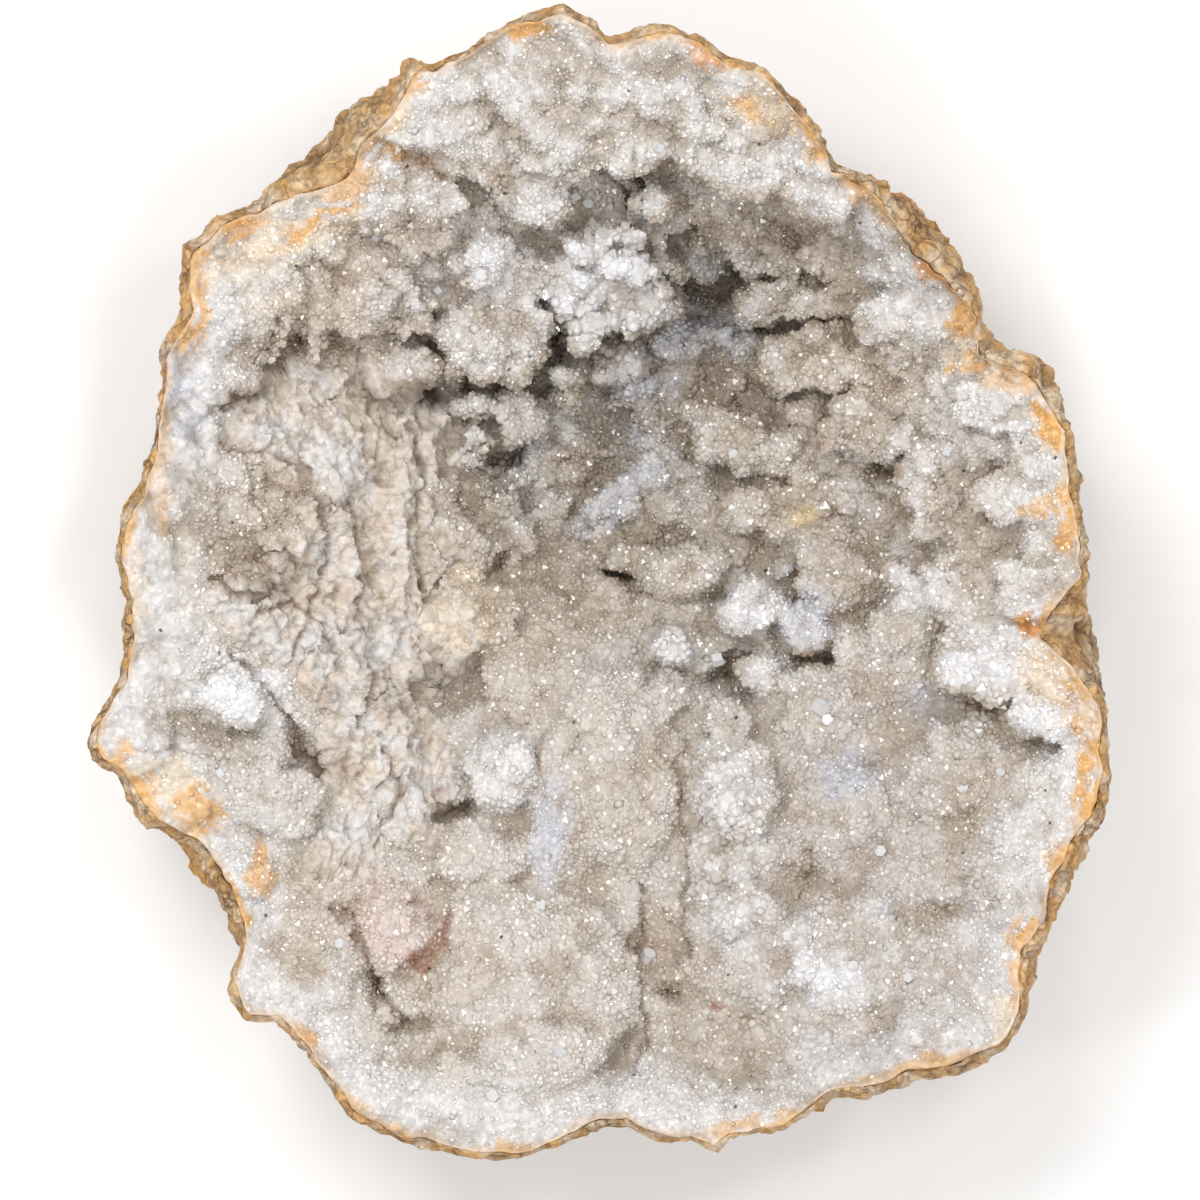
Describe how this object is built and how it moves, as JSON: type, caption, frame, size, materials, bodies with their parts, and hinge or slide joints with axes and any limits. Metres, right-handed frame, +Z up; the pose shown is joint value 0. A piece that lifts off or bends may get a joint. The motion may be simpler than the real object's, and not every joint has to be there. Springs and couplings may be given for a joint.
{
  "type": "quartz geode",
  "caption": "Broken half of a quartz geode, lying on its back: a knobbly rock rind lined with a sparkling white and grey crystal crust.",
  "frame": {"origin": "middle of the underside, on the plane that the half rests on", "axes": "+Z up, out of the hollow; +Y along the longest way across; +X to the right seen from above with +Y away"},
  "size_m": [0.2044, 0.2302, 0.0903],
  "materials": {
    "rind_rock": "dull weathered rock, tan and ochre with brown cracks",
    "quartz": "milky to clear quartz crystals, glassy points on white, grey and beige quartz"
  },
  "bodies": {
    "root": {"rind": "rind_rock", "quartz_crust": "quartz"}
  },
  "joints": []
}
